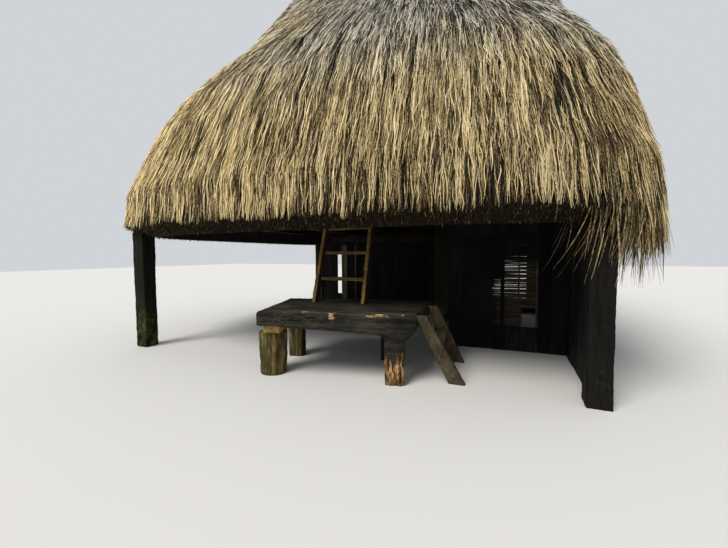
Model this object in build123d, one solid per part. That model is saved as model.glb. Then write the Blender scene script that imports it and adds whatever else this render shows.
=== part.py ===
# Thatched hut with a raised loft, an open hall, a carved bench platform and a loft ladder.
# Millimetres, +Z up. X runs to the right along the front, Y runs from front to back,
# and the origin is on the ground at the centre of the eave outline.
import math
import os

from build123d import *

os.makedirs("parts", exist_ok=True)

# Frame of squared timber
post_size = 210
post_x = 2890
post_y = 2650
post_height = 1700
girder_width = 180
girder_height = 190
girder_overhang = 120
beam_width = 150
beam_height = 180
beam_overhang = 110
deck_thickness = 45
deck_margin = 80
inner_post_x = 1228
outer_loft_beams = (-1730, 2060)
inner_post_y = -895

# Loft hatch over the ladder
hatch_left = -560
hatch_right = 560
hatch_front = -2150
hatch_back = -1050

# Thatch: height and spread of the outer face, from the eave lip to the crown
lip_half_x = 3504
lip_half_y = 3173
lip_height = 1760
lip_drop = 125
lip_cut_width = 260
lip_thickness = 40
ridge_half_x = 1304
ridge_half_y = 79
tier_height = 4300
eave_squareness = 4.95
crown_squareness = 2.335
inner_squareness = 4.6
crown_height = 6750
profile_knots = [(1.0, 1760), (1.011, 2000), (0.981, 2450), (0.938, 3000), (0.858, 3600)]
profile_knots += [(0.693, 4300), (0.5, 5100), (0.29, 6000), (0.14, 6750)]
skirt_courses = 6
crown_courses = 6
course_step = 46
lean_base = 2190
crown_lean = 0.0764
rafter_foot_half_x = 2980
rafter_foot_half_y = 2760
rafter_head_half_x = 1200
rafter_head_half_y = 180
rafter_head_height = 6750
rafter_radius = 45

# Board walls
wall_thickness = 40
wall_top = post_height
room_wall_y = -1000
back_wall_y = 2600
gap_left = -2312
gap_right = -2182
gap_sill = 280
gap_head = 1380
wall_studs = [(-2165, -1990, 45, 1630), (-1772, -1718, 35, 1620)]

# Room window
window_left = 1541
window_right = 2520
window_sill = 340
window_head = 1632
mullion_x = 2070
mullion_half = 25
mullion_proud = 15
shutter_foot = 1004
shutter_thickness = 25
back_window_head = 1300

# Carved bench platform, in its own frame with the front left top corner as origin
bench_x = -341
bench_y = -3250
bench_turn = 14.2
bench_top = 750
bench_length = 1690
bench_depth = 1200
bench_splay = 235
bench_seat = 590
bench_left = -15
bench_back_left = (-55, 1165)
bench_knee = [(1640, 520), (1575, 465), (1390, 512)]
bench_underside = [(1390, 512), (870, 553), (400, 576), (200, 590)]
leg_width = 203
leg_depth = 185
leg_height = 560
leg_flare = 1.06
leg_places = [(1470, 105), (1350, 960)]

# Ladder from the bench to the loft
ladder_left = (-160, -2327)
ladder_right = (501, -2284)
ladder_lean_x = -0.079
ladder_lean_y = 0.479
rail_width = 50
rail_depth = 115
rung_heights = [1042, 1381, 1720, 2059]
rung_width = 50
rung_height = 48
rung_housing = 10
ladder_above_deck = 500


def box(x0, x1, y0, y1, z0, z1):
    """Solid box between two corners."""
    block = Box(x1 - x0, y1 - y0, z1 - z0, align=(Align.MIN, Align.MIN, Align.MIN))
    return Pos(x0, y0, z0) * block


def save(shape, name):
    """Write one named piece."""
    export_step(shape, f"parts/{name}.step")


def lean_at(height):
    """Drift of the roof to the right, from just above the eave up to the crown."""
    return crown_lean * max(0, height - lean_base)


def on_outline(half_x, half_y, height, squareness, turn):
    """Point of a rounded rectangular section, with its corners at odd multiples of 45 degrees."""
    c = math.cos(math.radians(turn))
    s = math.sin(math.radians(turn))
    reach = (abs(c) ** squareness + abs(s) ** squareness) ** (-1 / squareness)
    return Vector(half_x * reach * c + lean_at(height), half_y * reach * s, height)


def side_section(outer, inner, height, squareness, first_turn, last_turn, count=9):
    """Flat section of thatch between an outer and an inner outline, from one hip to the next."""
    turns = [first_turn + (last_turn - first_turn) * i / (count - 1) for i in range(count)]
    far = [on_outline(outer[0], outer[1], height, squareness, turn) for turn in turns]
    near = [on_outline(inner[0], inner[1], height, inner_squareness, turn) for turn in reversed(turns)]
    edges = [
        Edge.make_spline(far),
        Edge.make_line(far[-1], near[0]),
        Edge.make_spline(near),
        Edge.make_line(near[-1], far[0]),
    ]
    return Wire(edges)


def spread(share):
    """Half sizes of the thatch where its spread is the given share of the eave's."""
    half_x = ridge_half_x + (lip_half_x - ridge_half_x) * share
    half_y = ridge_half_y + (lip_half_y - ridge_half_y) * share
    return half_x, half_y


def squareness_at(height):
    """Corners are squarer at the eave than at the crown."""
    rise = min(1, (height - lip_height) / (tier_height - lip_height))
    return eave_squareness + (crown_squareness - eave_squareness) * rise


def between(low, high, share):
    """Value part way from one to another."""
    return low + (high - low) * share


# Bell shaped side view of the thatch: share of the eave's spread against height
profile_curve = Spline(*[(share * 1000, 0, height) for share, height in profile_knots])


def spread_at(height):
    """Half sizes of the thatch at a height, read from the bell curve."""
    low = 0
    high = 1
    for _ in range(30):
        middle = (low + high) / 2
        if (profile_curve @ middle).Z < height:
            low = middle
        else:
            high = middle
    return spread((profile_curve @ low).X / 1000)


deck_bottom = post_height + girder_height + beam_height
deck_top = deck_bottom + deck_thickness

# Posts
posts = {}
for side, sx in (("left", -1), ("right", 1)):
    for end, sy in (("front", -1), ("back", 1)):
        half = post_size / 2
        cx = sx * post_x
        cy = sy * post_y
        posts[f"post_{end}_{side}"] = box(cx - half, cx + half, cy - half, cy + half, 0, post_height)
inner_post_top = post_height + girder_height
posts["post_inner"] = box(
    inner_post_x - post_size / 2,
    inner_post_x + post_size / 2,
    inner_post_y - post_size / 2,
    inner_post_y + post_size / 2,
    0,
    inner_post_top,
)
for name, shape in posts.items():
    save(shape, name)

# Girders along the front and back, on the corner posts
girder_end = post_x + girder_overhang
girders = {}
for end, sy in (("front", -1), ("back", 1)):
    cy = sy * post_y
    girders[f"girder_{end}"] = box(
        -girder_end,
        girder_end,
        cy - girder_width / 2,
        cy + girder_width / 2,
        post_height,
        post_height + girder_height,
    )
for name, shape in girders.items():
    save(shape, name)

# Beams from front to back, on the girders
beam_end = post_y + beam_overhang
beam_bottom = post_height + girder_height


def beam_at(cx):
    return box(cx - beam_width / 2, cx + beam_width / 2, -beam_end, beam_end, beam_bottom, deck_bottom)


side_beams = {"side_beam_left": beam_at(-post_x), "side_beam_right": beam_at(post_x)}
for name, shape in side_beams.items():
    save(shape, name)
loft_beam_places = [*outer_loft_beams, hatch_left - beam_width / 2, hatch_right + beam_width / 2, inner_post_x]
loft_beams = [beam_at(cx) for cx in loft_beam_places]
save(Compound(loft_beams), "loft_beams")

# Loft deck around the hatch
deck_x = post_x + deck_margin
deck_y = post_y + deck_margin
loft_deck = [
    box(-deck_x, hatch_left, -deck_y, deck_y, deck_bottom, deck_top),
    box(hatch_right, deck_x, -deck_y, deck_y, deck_bottom, deck_top),
    box(hatch_left, hatch_right, -deck_y, hatch_front, deck_bottom, deck_top),
    box(hatch_left, hatch_right, hatch_back, deck_y, deck_bottom, deck_top),
]
save(Compound(loft_deck), "loft_deck")

# Back wall of upright boards with one board missing, and a window behind the room
back_left_edge = -post_x + post_size / 2
back_right_edge = post_x - post_size / 2
back_face = back_wall_y + wall_thickness


def back_boards(x0, x1, z0, z1):
    return box(x0, x1, back_wall_y, back_face, z0, z1)


back_wall = [
    back_boards(back_left_edge, gap_left, 0, wall_top),
    back_boards(gap_left, gap_right, 0, gap_sill),
    back_boards(gap_left, gap_right, gap_head, wall_top),
    back_boards(gap_right, window_left, 0, wall_top),
    back_boards(window_left, window_right, 0, window_sill),
    back_boards(window_left, window_right, back_window_head, wall_top),
    back_boards(window_right, back_right_edge, 0, wall_top),
]
save(Compound(back_wall), "back_wall")
studs = []
for left, right, thickness, height in wall_studs:
    studs.append(box(left, right, back_wall_y - thickness, back_wall_y, 0, height))
save(Compound(studs), "back_wall_studs")

# Right side wall between the corner posts
side_wall_x = post_x - wall_thickness / 2
side_wall_end = post_y - post_size / 2
side_wall = box(side_wall_x, side_wall_x + wall_thickness, -side_wall_end, side_wall_end, 0, inner_post_top)
save(side_wall, "side_wall_right")

# Room wall with its window
room_left = inner_post_x + post_size / 2
room_right = side_wall_x
room_back = room_wall_y + wall_thickness
room_top = beam_bottom
room_walls = [
    box(room_left, window_left, room_wall_y, room_back, 0, room_top),
    box(window_right, room_right, room_wall_y, room_back, 0, room_top),
    box(window_left, window_right, room_wall_y, room_back, 0, window_sill),
    box(window_left, window_right, room_wall_y, room_back, window_head, room_top),
]
save(Compound(room_walls), "room_wall")
mullion = box(
    mullion_x - mullion_half,
    mullion_x + mullion_half,
    room_wall_y - mullion_proud,
    room_back,
    window_sill,
    window_head,
)
save(mullion, "window_mullion")
shutter_right = mullion_x - mullion_half
shutter_back = room_wall_y + shutter_thickness
save(box(window_left, shutter_right, room_wall_y, shutter_back, shutter_foot, window_head), "window_shutter")

# Split bamboo slats tied to two uprights behind the window
slat_pitch = 65
slat_height = 26
slat_count = 18
slat_thickness = 12
first_slat = window_sill + 90
overlap = 40
slats_y = room_back
upright = 22
upright_foot = window_sill + 60
upright_places = (window_left + 200, window_right - 250)
grid = Part()
for i in range(slat_count):
    z = first_slat + i * slat_pitch
    slat = box(window_left - overlap, window_right + overlap, slats_y, slats_y + slat_thickness, z, z + slat_height)
    grid = grid + slat
for cx in upright_places:
    front = slats_y + slat_thickness / 2
    grid = grid + box(cx, cx + upright, front, front + 20, upright_foot, window_head + overlap)
save(grid, "window_slats")

# Bench carved from one trunk: slab with wavy underside, two legs and a knee
bench_place = Pos(bench_x, bench_y, 0) * Rot(0, 0, bench_turn)
slab_start = bench_back_left[0] - 20
slab_end = bench_length + bench_splay + 10
knee_top = bench_seat + 10
with BuildSketch(Plane.XY.offset(bench_top)) as slab_plan:
    with BuildLine():
        right = (bench_length + bench_splay, bench_depth)
        Polyline((bench_left, 0), (bench_length, 0), right, bench_back_left, close=True)
    make_face()
with BuildSketch(Plane.XZ) as bench_front:
    with BuildLine():
        Polyline((slab_start, bench_seat), (slab_start, bench_top), (slab_end, bench_top), (slab_end, knee_top))
        Line((slab_end, knee_top), (bench_length, knee_top))
        Spline((bench_length, knee_top), *bench_knee[:2])
        Line(bench_knee[1], bench_knee[2])
        Spline(*bench_underside)
        Line(bench_underside[-1], (slab_start, bench_seat))
    make_face()
slab = extrude(bench_front.sketch, -2 * bench_depth)
slab = slab.moved(Location((0, -100, 0))) & extrude(slab_plan.sketch, -bench_top)

# Front top edge worn away, more towards the right: place along the edge, width and depth of the wear
worn_places = [(-30, 4, 3), (450, 24, 15), (900, 34, 19), (1350, 70, 46), (1720, 70, 42)]


def worn_section(x, width, depth, margin=10):
    above = bench_top + margin
    below = bench_top - depth
    corners = [(x, -margin, above), (x, width, above), (x, width, bench_top), (x, 0, below), (x, -margin, below)]
    return Wire.make_polygon(corners, close=True)


slab = slab - Solid.make_loft([worn_section(*place) for place in worn_places], ruled=True)


def bench_leg(x, y):
    lower = Pos(x, y, 0) * Rectangle(leg_width, leg_depth)
    upper = Pos(x, y, leg_height) * Rectangle(leg_width * leg_flare, leg_depth * leg_flare)
    return loft([lower, upper])


bench = slab
for leg_place in leg_places:
    bench = bench + bench_leg(*leg_place)
bench_in_place = bench_place * bench
save(bench_in_place, "bench_platform")

# Stump and shim under the left end, and a block under the back corner
stump_top = 490
stump_place = (52, 290)
stump_foot_radius = 150
stump_head_radius = 156
shim_length = 190
shim_front = 136
shim_back = 400
block_front = 930
block_back = 1100
stump = Pos(*stump_place, 0) * Cone(
    stump_foot_radius, stump_head_radius, stump_top, align=(Align.CENTER, Align.CENTER, Align.MIN)
)
save(bench_place * stump, "bench_stump")
save(bench_place * box(0, shim_length, shim_front, shim_back, stump_top, bench_seat), "stump_shim")
save(bench_place * box(0, shim_length, block_front, block_back, 0, bench_seat), "bench_back_block")

# Ladder
ladder_top = deck_top + ladder_above_deck


def leaning_rail(foot):
    """Plank rail from the bench through the loft hatch."""
    rise = ladder_top - bench_top
    lower = Pos(foot[0], foot[1], bench_top) * Rectangle(rail_width, rail_depth)
    upper = Pos(foot[0] + rise * ladder_lean_x, foot[1] + rise * ladder_lean_y, ladder_top)
    return loft([lower, upper * Rectangle(rail_width, rail_depth)])


rails = {"ladder_rail_left": leaning_rail(ladder_left), "ladder_rail_right": leaning_rail(ladder_right)}
for name, shape in rails.items():
    save(shape, name)
rungs = []
for height in rung_heights:
    rise = height - bench_top
    x0 = ladder_left[0] + rise * ladder_lean_x + rail_width / 2
    x1 = ladder_right[0] + rise * ladder_lean_x - rail_width / 2
    y = (ladder_left[1] + ladder_right[1]) / 2 + rise * ladder_lean_y
    rung = Box(x1 - x0 + 2 * rung_housing, rung_width, rung_height)
    rung = Pos((x0 + x1) / 2, y, height) * rung
    rungs.append(rung - rails["ladder_rail_left"] - rails["ladder_rail_right"])
save(Compound(rungs), "ladder_rungs")

# Short stair leaning on the right end of the bench
stringer_thickness = 60
stringer_width = 170
stringer_head_width = 118
stair_top = 735
tread_foot = 395
tread_thickness = 45
tread_corners = [(1393, -2690), (1545, -2690), (1474, -1960), (1342, -1960)]


def stringer(head, foot):
    """Plank on edge from the bench end down to the ground, narrowing upward."""
    lower = Pos(foot[0], foot[1], 0) * Rectangle(stringer_width, stringer_thickness)
    upper = Pos(head[0], head[1], stair_top) * Rectangle(stringer_head_width, stringer_thickness)
    return loft([lower, upper]) - bench_in_place


stringers = {
    "stair_stringer_front": stringer((1335, -2795), (1668, -2578)),
    "stair_stringer_back": stringer((1305, -2050), (1565, -1790)),
}
for name, shape in stringers.items():
    save(shape, name)
tread = Pos(0, 0, tread_foot) * extrude(make_face(Polyline(*tread_corners, close=True)), tread_thickness)
for shape in stringers.values():
    tread = tread - shape
save(tread.solids().sort_by(SortBy.VOLUME)[-1], "stair_tread")

# Roof thatch in two tiers, each split at the hips
lip_bottom = lip_height - lip_drop
lip_outer = (lip_half_x - lip_cut_width, lip_half_y - lip_cut_width)
lip_inner = (lip_outer[0] - lip_thickness, lip_outer[1] - lip_thickness)
lip_face = (lip_half_x + course_step / 2, lip_half_y + course_step / 2)


def inside_at(height):
    """Half sizes of the space inside the thatch."""
    foot = (rafter_foot_half_x, rafter_foot_half_y)
    if height < deck_top:
        share = (height - lip_bottom) / (deck_top - lip_bottom)
        return tuple(between(low, high, share) for low, high in zip(lip_inner, foot))
    head = (rafter_head_half_x, rafter_head_half_y)
    share = (height - deck_top) / (rafter_head_height - deck_top)
    return tuple(between(low, high, share) for low, high in zip(foot, head))


def course_section(height, proud, first_turn, last_turn):
    """Section through a course of thatch, its outer face standing proud of the bell curve."""
    outer = tuple(half + proud for half in spread_at(height))
    return side_section(outer, inside_at(height), height, squareness_at(height), first_turn, last_turn)


def thatch_side(bottom, top, courses, first_turn, last_turn):
    """Blanket of thatch from hip to hip, laid in courses that each overhang the one below."""
    blanket = Part()
    for i in range(courses):
        low = between(bottom, top, i / courses)
        high = between(bottom, top, (i + 1) / courses)
        foot = course_section(low, course_step / 2, first_turn, last_turn)
        head = course_section(high, -course_step / 2, first_turn, last_turn)
        blanket = blanket + Solid.make_loft([foot, head], ruled=True)
    return blanket


def thatch_lip(first_turn, last_turn):
    """Slanting cut underside of the eave."""
    lower = side_section(lip_outer, lip_inner, lip_bottom, eave_squareness, first_turn, last_turn)
    upper = side_section(
        lip_face, inside_at(lip_height), lip_height, eave_squareness, first_turn, last_turn
    )
    return Solid.make_loft([lower, upper], ruled=True)


frame_head = Part()
frame_pieces = [*posts.values(), *girders.values(), *side_beams.values(), *loft_beams, *back_wall, side_wall]
for piece in frame_pieces:
    frame_head = frame_head + piece
frame_head = frame_head + box(-deck_x, deck_x, -deck_y, deck_y, deck_bottom, deck_top)

hip_turns = {"front": (225, 315), "right": (-45, 45), "back": (45, 135), "left": (135, 225)}
hip_clearance = 0.004
skirts = {}
for side, turns in hip_turns.items():
    first_turn = turns[0] + hip_clearance
    last_turn = turns[1] - hip_clearance
    skirt = thatch_side(lip_height, tier_height, skirt_courses, first_turn, last_turn)
    skirt = skirt + thatch_lip(first_turn, last_turn)
    skirts[side] = skirt - frame_head
    save(skirts[side], f"thatch_skirt_{side}")
    crown = thatch_side(tier_height, crown_height, crown_courses, first_turn, last_turn)
    save(crown, f"thatch_crown_{side}")

# Cap of thatch bundled over the ridge
ridge_profile = [(6750, 0.152), (6890, 0.13), (7020, 0.1), (7130, 0.064), (7200, 0.03), (7230, 0.005)]
ridge_squareness = 2.6
ridge_point_step = 18
ridge_wires = []
for height, share in ridge_profile:
    half_x, half_y = spread(share)
    turns = [ridge_point_step * (i + 0.5) for i in range(360 // ridge_point_step)]
    points = [on_outline(half_x, half_y, height, ridge_squareness, turn) for turn in turns]
    ridge_wires.append(Wire([Edge.make_spline(points, periodic=True)]))
save(Solid.make_loft(ridge_wires), "thatch_ridge_cap")

# Loose tufts hanging under the lip at the front right corner: turn, length and width of each
tufts = [(294, 170, 110), (299, 260, 150), (304, 230, 150), (308, 380, 150), (312, 520, 170)]
tufts += [(316, 640, 180), (321, 560, 170), (326, 590, 180), (331, 400, 170), (336, 280, 140)]
tuft_top = lip_height + 30
tuft_thickness = 34
tuft_tip_share = 0.3
tuft_tip_shift = 45
tuft_inset = 34


def loose_tuft(turn, length, width):
    """Flat tapering tuft along the lip, its tip drifting to the left."""
    near = on_outline(lip_half_x - tuft_inset, lip_half_y - tuft_inset, tuft_top, eave_squareness, turn)
    beyond = on_outline(lip_half_x - tuft_inset, lip_half_y - tuft_inset, tuft_top, eave_squareness, turn + 1)
    along = (beyond - near).normalized()
    tip = near - along * tuft_tip_shift - Vector(0, 0, length + tuft_top - lip_height)
    upper = Plane(origin=near, x_dir=along, z_dir=(0, 0, 1)) * Rectangle(width, tuft_thickness)
    lower = Plane(origin=tip, x_dir=along, z_dir=(0, 0, 1)) * Rectangle(
        width * tuft_tip_share, tuft_thickness * tuft_tip_share
    )
    tuft = loft([lower, upper]) - skirts["front"] - skirts["right"]
    tuft = tuft - posts["post_front_right"] - girders["girder_front"]
    return tuft.solids().sort_by(SortBy.VOLUME)[-1]


save(Compound([loose_tuft(*tuft) for tuft in tufts]), "loose_thatch")

# Rafter poles from the deck to the ridge beam, spreading with the corners
ridge_beam_half = 1130
ridge_beam_depth = 170
ridge_beam_width = 200
ridge_middle = lean_at(rafter_head_height)
ridge_beam = box(
    ridge_middle - ridge_beam_half,
    ridge_middle + ridge_beam_half,
    -ridge_beam_width / 2,
    ridge_beam_width / 2,
    rafter_head_height - ridge_beam_depth,
    rafter_head_height,
)
save(ridge_beam, "ridge_beam")
rafter_inset = 88
rafter_overrun = 0.03


def rafter(turn):
    """Round pole under the thatch, cut level at its foot and notched to the ridge beam."""
    foot = on_outline(
        rafter_foot_half_x - rafter_inset, rafter_foot_half_y - rafter_inset, deck_top, inner_squareness, turn
    )
    head = on_outline(
        rafter_head_half_x - rafter_inset, rafter_head_half_y - rafter_inset, rafter_head_height, inner_squareness, turn
    )
    run = head - foot
    length = run.length * (1 + 2 * rafter_overrun)
    pole = Plane(origin=foot - run * rafter_overrun, z_dir=run) * Cylinder(
        rafter_radius, length, align=(Align.CENTER, Align.CENTER, Align.MIN)
    )
    pole = pole & box(-lip_half_x, lip_half_x, -lip_half_y, lip_half_y, deck_top, rafter_head_height)
    return pole - ridge_beam


save(Compound([rafter(turn) for turn in (225, 243, 261, 279, 297, 315)]), "rafters_front")
save(Compound([rafter(turn) for turn in (45, 63, 81, 99, 117, 135)]), "rafters_back")
save(Compound([rafter(turn) for turn in (0, 180)]), "rafters_ends")
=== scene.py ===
import math

import bpy
import numpy as np
from mathutils import Matrix, Vector
from mathutils.bvhtree import BVHTree


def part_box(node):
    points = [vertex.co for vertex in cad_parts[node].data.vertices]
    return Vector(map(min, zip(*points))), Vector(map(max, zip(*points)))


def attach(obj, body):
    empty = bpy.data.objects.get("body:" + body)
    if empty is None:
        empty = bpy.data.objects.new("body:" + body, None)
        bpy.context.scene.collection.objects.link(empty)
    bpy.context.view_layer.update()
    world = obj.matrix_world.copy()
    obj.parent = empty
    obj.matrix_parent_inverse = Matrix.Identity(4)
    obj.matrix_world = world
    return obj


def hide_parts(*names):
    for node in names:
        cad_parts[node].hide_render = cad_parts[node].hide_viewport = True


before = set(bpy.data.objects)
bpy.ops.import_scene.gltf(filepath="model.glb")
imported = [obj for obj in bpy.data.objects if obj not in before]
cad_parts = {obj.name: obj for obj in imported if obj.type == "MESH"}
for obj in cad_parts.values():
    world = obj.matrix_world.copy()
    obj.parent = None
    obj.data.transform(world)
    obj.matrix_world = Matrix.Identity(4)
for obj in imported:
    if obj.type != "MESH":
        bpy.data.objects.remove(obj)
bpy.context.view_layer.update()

scene = bpy.context.scene
print("frame loaded:", len(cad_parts), "nodes")


# small tools for working as by hand

def deselectAll():
    if bpy.context.object and bpy.context.object.mode != "OBJECT":
        bpy.ops.object.mode_set(mode="OBJECT")
    bpy.ops.object.select_all(action="DESELECT")


def pick(piece):
    deselectAll()
    piece.select_set(True)
    bpy.context.view_layer.objects.active = piece


def applyAll(piece):
    pick(piece)
    for modifier in list(piece.modifiers):
        bpy.ops.object.modifier_apply(modifier=modifier.name)


def roughen(piece, size, strength):
    texture = bpy.data.textures.new(piece.name + "Clouds", "CLOUDS")
    texture.noise_scale = size
    texture.noise_depth = 2
    modifier = piece.modifiers.new("roughen", "DISPLACE")
    modifier.texture = texture
    modifier.texture_coords = "LOCAL"
    modifier.strength = strength
    modifier.mid_level = 0.5
    applyAll(piece)


def perVertex(mesh, field="co"):
    values = np.empty(len(mesh.vertices) * 3)
    mesh.vertices.foreach_get(field, values)
    return values.reshape(-1, 3)


def storeValues(piece, name, values):
    attribute = piece.data.attributes.new(name, "FLOAT", "POINT")
    attribute.data.foreach_set("value", values)


def addBox(piece, name, centre, size):  # the first box makes the piece, the others join it in edit mode
    bpy.ops.mesh.primitive_cube_add(size=1, location=centre, scale=size)
    if piece is None:
        piece = bpy.context.object
        piece.name = name
        bpy.ops.object.transform_apply(location=True, rotation=True, scale=True)
        bpy.ops.object.mode_set(mode="EDIT")
    return piece


def cutAcross(axis, low, high, cuts):
    for share in np.linspace(0, 1, cuts + 2)[1:-1]:
        normal = [0, 0, 0]
        normal[axis] = 1
        place = [0, 0, 0]
        place[axis] = low + (high - low) * share
        bpy.ops.mesh.select_all(action="SELECT")
        bpy.ops.mesh.bisect(plane_co=place, plane_no=normal)


def camelName(node):  # a piece is named after its node
    first, *others = node.split("_")
    return first + "".join(word.capitalize() for word in others)


def finishPiece(piece, material, replaced=(), smoothAngle=40):
    pick(piece)
    if smoothAngle:
        bpy.ops.object.shade_smooth_by_angle(angle=math.radians(smoothAngle))
    piece.data.materials.clear()
    piece.data.materials.append(material)
    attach(piece, "root")
    if replaced:
        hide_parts(*replaced)


# shader maths written as plain expressions

class Signal:
    def __init__(self, maker, socket):
        self.maker = maker
        self.socket = socket

    def __add__(self, other):
        return self.maker.math("ADD", self, other)

    __radd__ = __add__

    def __sub__(self, other):
        return self.maker.math("SUBTRACT", self, other)

    def __rsub__(self, other):
        return self.maker.math("SUBTRACT", other, self)

    def __mul__(self, other):
        return self.maker.math("MULTIPLY", self, other)

    __rmul__ = __mul__

    def __truediv__(self, other):
        return self.maker.math("DIVIDE", self, other)

    def between(self, low, high):  # 0 below low, 1 above high, soft between
        return self.maker.add(
            "ShaderNodeMapRange",
            {"interpolation_type": "SMOOTHSTEP"},
            {"Value": self, "From Min": low, "From Max": high},
        )

    def absolute(self):
        return self.maker.math("ABSOLUTE", self)

    def near(self, middle, half, full, none):  # 1 about a middle, soft to 0, in half sizes from it
        return 1 - ((self - middle) / half).absolute().between(full, none)


class Maker:
    def __init__(self, name, roughness=0.85, specular=0.3):
        self.material = bpy.data.materials.new(name)
        self.material.use_nodes = True
        self.tree = self.material.node_tree
        self.tree.nodes.clear()
        self.shader = self.tree.nodes.new("ShaderNodeBsdfPrincipled")
        self.shader.inputs["Roughness"].default_value = roughness
        self.shader.inputs["Specular IOR Level"].default_value = specular
        output = self.tree.nodes.new("ShaderNodeOutputMaterial")
        self.tree.links.new(self.shader.outputs[0], output.inputs[0])
        self.place = self.add("ShaderNodeTexCoord", output="Object")
        self.axes = self.parts("ShaderNodeSeparateXYZ", self.place)

    def feed(self, node, key, value):
        target = node.inputs[key]
        if isinstance(value, Signal):
            self.tree.links.new(value.socket, target)
        else:
            target.default_value = value

    def add(self, kind, settings=None, inputs=None, output=0):
        node = self.tree.nodes.new(kind)
        for key, value in (settings or {}).items():
            if key == "stops":
                self.setStops(node.color_ramp.elements, value)
            else:
                setattr(node, key, value)
        for key, value in (inputs or {}).items():
            self.feed(node, key, value)
        return Signal(self, node.outputs[output])

    def setStops(self, elements, stops):
        while len(elements) < len(stops):
            elements.new(1.0)
        for element, (position, colour) in zip(elements, stops):
            element.position = position
            element.color = (*colour, 1.0)

    def math(self, operation, first, second=0.0, clamp=False):
        settings = {"operation": operation, "use_clamp": clamp}
        return self.add("ShaderNodeMath", settings, {0: first, 1: second})

    def parts(self, kind, value):  # the three numbers of a vector or a colour
        node = self.add(kind, None, {0: value}).socket.node
        return [Signal(self, output) for output in node.outputs[:3]]

    def stored(self, name):
        return self.add("ShaderNodeAttribute", {"attribute_name": name}, output=2)

    def strandParts(self):  # tone, place along the strand and wear, as each ribbon holds them
        strand = self.add("ShaderNodeAttribute", {"attribute_name": "strand"})
        return self.parts("ShaderNodeSeparateColor", strand)

    def noise(self, scale, stretch=(1, 1, 1), detail=3.0, roughness=0.55, shift=(0, 0, 0), place=None):
        moved = self.add(
            "ShaderNodeMapping", None,
            {"Vector": place or self.place, "Scale": stretch, "Location": shift},
        )
        inputs = {"Vector": moved, "Scale": scale, "Detail": detail, "Roughness": roughness}
        return self.add("ShaderNodeTexNoise", None, inputs)

    def ramp(self, value, stops):
        return self.add("ShaderNodeValToRGB", {"stops": stops}, {0: value})

    def mix(self, amount, first, second):
        first, second = (side if isinstance(side, Signal) else (*side, 1.0) for side in (first, second))
        inputs = {0: amount, 6: first, 7: second}
        return self.add("ShaderNodeMix", {"data_type": "RGBA"}, inputs, output=2)

    def dim(self, colour, amount):  # scales a colour by a varying number
        return self.add("ShaderNodeVectorMath", {"operation": "SCALE"}, {0: colour, "Scale": amount})

    def finish(self, colour, height=None, bump=0.4, distance=0.004, roughness=None):
        self.feed(self.shader, "Base Color", colour)
        if roughness is not None:
            self.feed(self.shader, "Roughness", roughness)
        if height is not None:
            inputs = {"Height": height, "Strength": bump, "Distance": distance}
            self.feed(self.shader, "Normal", self.add("ShaderNodeBump", None, inputs))
        return self.material


# finishes

grainStretch = {"x": (0.07, 1, 1), "y": (1, 0.07, 1), "z": (1, 1, 0.07)}


def timberFinish(
    name, dark, light, axis="z", grain=26, moss=0.0, mossTop=0.7, warm=0.0, tones=False,
    cracks=0.72, paintedSideShade=0.0,
):
    maker = Maker(name, specular=0.1)
    z = maker.axes[2]
    stretch = grainStretch[axis]
    fibres = maker.noise(grain, stretch, detail=6, roughness=0.65)
    fine = maker.noise(grain * 5, stretch, detail=3)
    patches = maker.noise(2.2, detail=4)
    longer = [part * 0.35 if part < 1 else part for part in stretch]
    checks = maker.noise(grain * 0.8, longer, detail=1, shift=(4, 2, 7))
    crack = (checks - 0.5).absolute().between(0.004, 0.022)
    colour = maker.mix((fibres * 0.7 + fine * 0.5).between(0.35, 0.85), dark, light)
    colour = maker.dim(colour, patches.between(0.25, 0.75) * 0.7 + 0.62)
    if warm:  # rubbed bare where feet and hands reach
        worn = maker.noise(5, stretch, shift=(9, 1, 3)).between(0.4, 0.6)
        worn = worn * (1 - z.between(0.8, 1.5) * 0.8)
        colour = maker.mix(worn * warm, colour, (0.50, 0.27, 0.09))
    if tones:
        colour = maker.dim(colour, maker.stored("tone") * 0.9 + 0.5)
    if paintedSideShade:  # painted shade: sides turned away from the front are darker
        front = maker.stored("front").between(0.35, 0.8)
        colour = maker.dim(colour, front * paintedSideShade + (1 - paintedSideShade))
    colour = maker.dim(colour, crack * cracks + (1 - cracks))
    if moss:
        low = 1 - z.between(mossTop * 0.35, mossTop)
        blotch = maker.noise(11, detail=5, roughness=0.7, shift=(3, 3, 8))
        blotch = blotch.between(0.62 - 0.25 * moss, 0.75)
        colour = maker.mix(low * blotch * min(1.0, moss + 0.2), colour, (0.070, 0.085, 0.015))
    height = fibres * 0.6 + fine * 0.3 + crack * cracks
    return maker.finish(colour, height, bump=0.55, distance=0.005, roughness=fibres * 0.2 + 0.68)


bench = {   # the bench's own frame, along its front edge, and its wear
    "x": -0.341, "y": -3.25, "turn": 14.2, "top": (0.70, 0.72), "rottenLeg": 1.47,
    "chips": (  # middle and half size along, back and up, and how freely the chips spread
        (0.51, 0.05, 0.040, 0.03, 0.738, 0.026, 0.34),
        (0.815, 0.045, 0.02, 0.07, 0.705, 0.050, 0.40),
        (1.28, 0.20, 0.045, 0.05, 0.722, 0.030, 0.46),
        (1.55, 0.05, 0.045, 0.03, 0.716, 0.026, 0.42),
        (1.02, 0.06, 0.00, 0.03, 0.668, 0.030, 0.62),
    ),
    "crack": ((0.83, 0.03), (1.07, 0.34)),
}


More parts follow.
